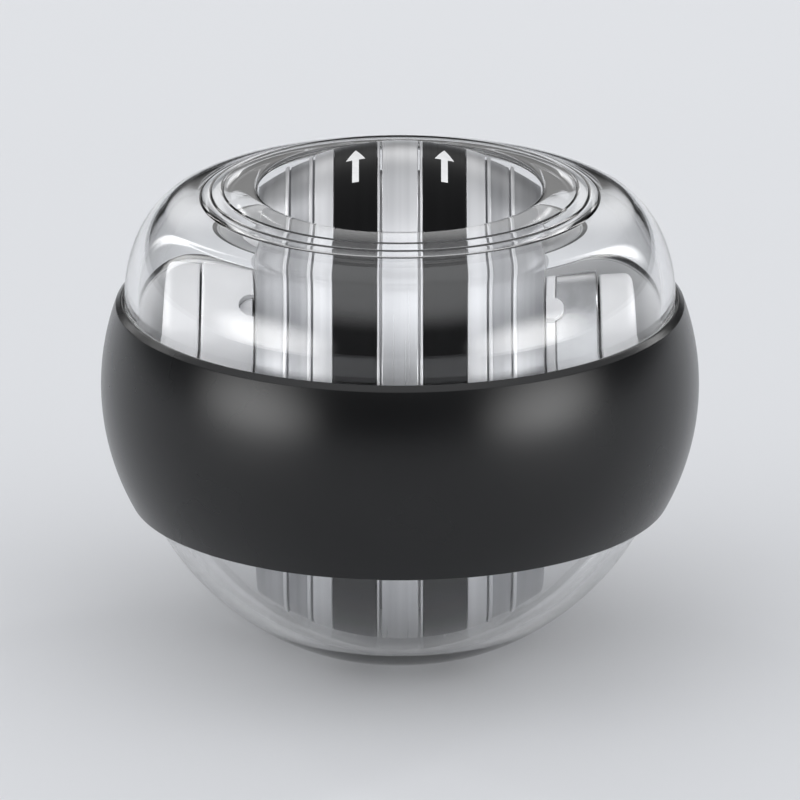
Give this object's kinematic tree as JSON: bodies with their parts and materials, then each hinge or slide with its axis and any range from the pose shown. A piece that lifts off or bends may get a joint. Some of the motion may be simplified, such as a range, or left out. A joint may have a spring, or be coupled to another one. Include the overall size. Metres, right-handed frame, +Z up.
{
  "type": "gyroscopic wrist ball",
  "caption": "Clear-shelled wrist exerciser ball: a weighted rotor on a gimbal ring protrudes through a ringed opening, with a spring starter inside and a smooth black grip band.",
  "frame": {"origin": "centre of the flat foot's underside, on the ball's own vertical axis", "axes": "+Z up out of the opening that the rotor shows through, X along the rotor's axle at rest with the spring starter on +X, +Y away from the viewer of the picture"},
  "size_m": [0.072, 0.072, 0.0617],
  "materials": {
    "clear_shell": "clear, polished",
    "grip_silicone": "satin silicone",
    "ring_plastic": "self-lubricating black plastic",
    "white_plastic": "satin moulded",
    "silver_plastic": "satin silver paint",
    "tread_plastic": "black, satin",
    "zinc_casting": "turned bright zinc",
    "barrel_steel": "drawn bright steel",
    "bright_steel": "ground steel",
    "spring_steel": "blued spring steel"
  },
  "bodies": {
    "housing": {"lower_shell": "clear_shell", "upper_shell": "clear_shell", "grip_band": "grip_silicone"},
    "gimbal": {"gimbal_ring": "ring_plastic", "bearing_housing": "white_plastic", "housing_lid": "white_plastic", "left_cover": "white_plastic", "spring_barrel": "barrel_steel", "barrel_lid": "white_plastic", "mainspring": "spring_steel", "right_cover": "white_plastic", "left_cover_screw_1": "bright_steel", "left_cover_screw_2": "bright_steel", "left_cover_screw_3": "bright_steel", "right_cover_screw_1": "bright_steel", "right_cover_screw_2": "bright_steel", "right_cover_screw_3": "bright_steel", "left_bearing_outer_race": "bright_steel", "left_bearing_ball_1": "bright_steel", "left_bearing_ball_2": "bright_steel", "left_bearing_ball_3": "bright_steel", "left_bearing_ball_4": "bright_steel", "left_bearing_ball_5": "bright_steel", "left_bearing_ball_6": "bright_steel", "right_bearing_outer_race": "bright_steel", "right_bearing_ball_1": "bright_steel", "right_bearing_ball_2": "bright_steel", "right_bearing_ball_3": "bright_steel", "right_bearing_ball_4": "bright_steel", "right_bearing_ball_5": "bright_steel", "right_bearing_ball_6": "bright_steel"},
    "rotor": {"axle": "bright_steel", "flywheel": "zinc_casting", "left_rotor_half": "silver_plastic", "right_rotor_half": "silver_plastic", "left_tread": "tread_plastic", "right_tread": "tread_plastic", "left_bearing_inner_race": "bright_steel", "right_bearing_inner_race": "bright_steel"},
    "starter": {"starter_arbor": "bright_steel", "clutch_roller_1": "bright_steel", "clutch_roller_2": "bright_steel", "clutch_roller_3": "bright_steel", "clutch_roller_4": "bright_steel"}
  },
  "joints": [
    {"name": "precession", "type": "hinge", "parent": "housing", "child": "gimbal", "pos_m": [0, 0, 0.0318], "axis": [0, 0, 1], "continuous": true},
    {"name": "rotor_spin", "type": "hinge", "parent": "gimbal", "child": "rotor", "pos_m": [0, 0, 0.0318], "axis": [1, 0, 0], "continuous": true},
    {"name": "starter_wind", "type": "hinge", "parent": "gimbal", "child": "starter", "pos_m": [0.0152, 0, 0.0318], "axis": [1, 0, 0], "range_deg": [0, 540], "stiffness_Nm_per_rad": 0.002}
  ]
}
